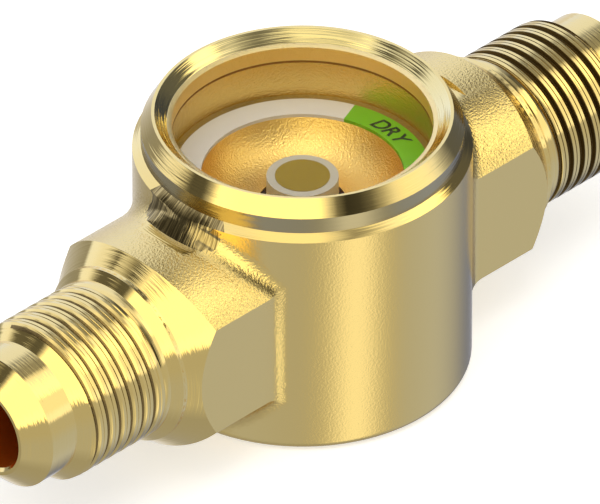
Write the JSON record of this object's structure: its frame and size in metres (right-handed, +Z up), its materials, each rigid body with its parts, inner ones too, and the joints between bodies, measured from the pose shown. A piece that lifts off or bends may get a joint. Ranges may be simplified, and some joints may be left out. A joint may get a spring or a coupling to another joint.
{
  "type": "moisture indicator sight glass",
  "caption": "Brass sight glass for a refrigerant line: a round window over a colour ring and an indicator disc, in a body with a male flare connection at each end.",
  "frame": {"origin": "middle of the flat base, which is also the middle of the bounding box's lower face", "axes": "+Z up along the axis of the cup and out through the window, X along the pipe line through both flare ends, Y across the wrench flats"},
  "size_m": [0.0832, 0.032, 0.0277],
  "materials": {
    "brass_body": "turned bright at the collar and ends, satin on the forged faces",
    "brass_ring": "turned bright",
    "thin_seal": "dark brown, matt",
    "window_glass": "clear and polished",
    "printed_dial": "matt pale grey ground with a green field and a yellow field",
    "bronze_filled_seal": "olive brown, satin",
    "white_plastic": "satin",
    "indicator_paper": "matt olive"
  },
  "bodies": {
    "root": {"forged_body": "brass_body", "retaining_ring": "brass_ring", "upper_seal": "thin_seal", "sight_glass": "window_glass", "dial_ring": "printed_dial", "lower_seal": "bronze_filled_seal", "indicator_post": "white_plastic", "indicator_paper": "indicator_paper"}
  },
  "joints": []
}
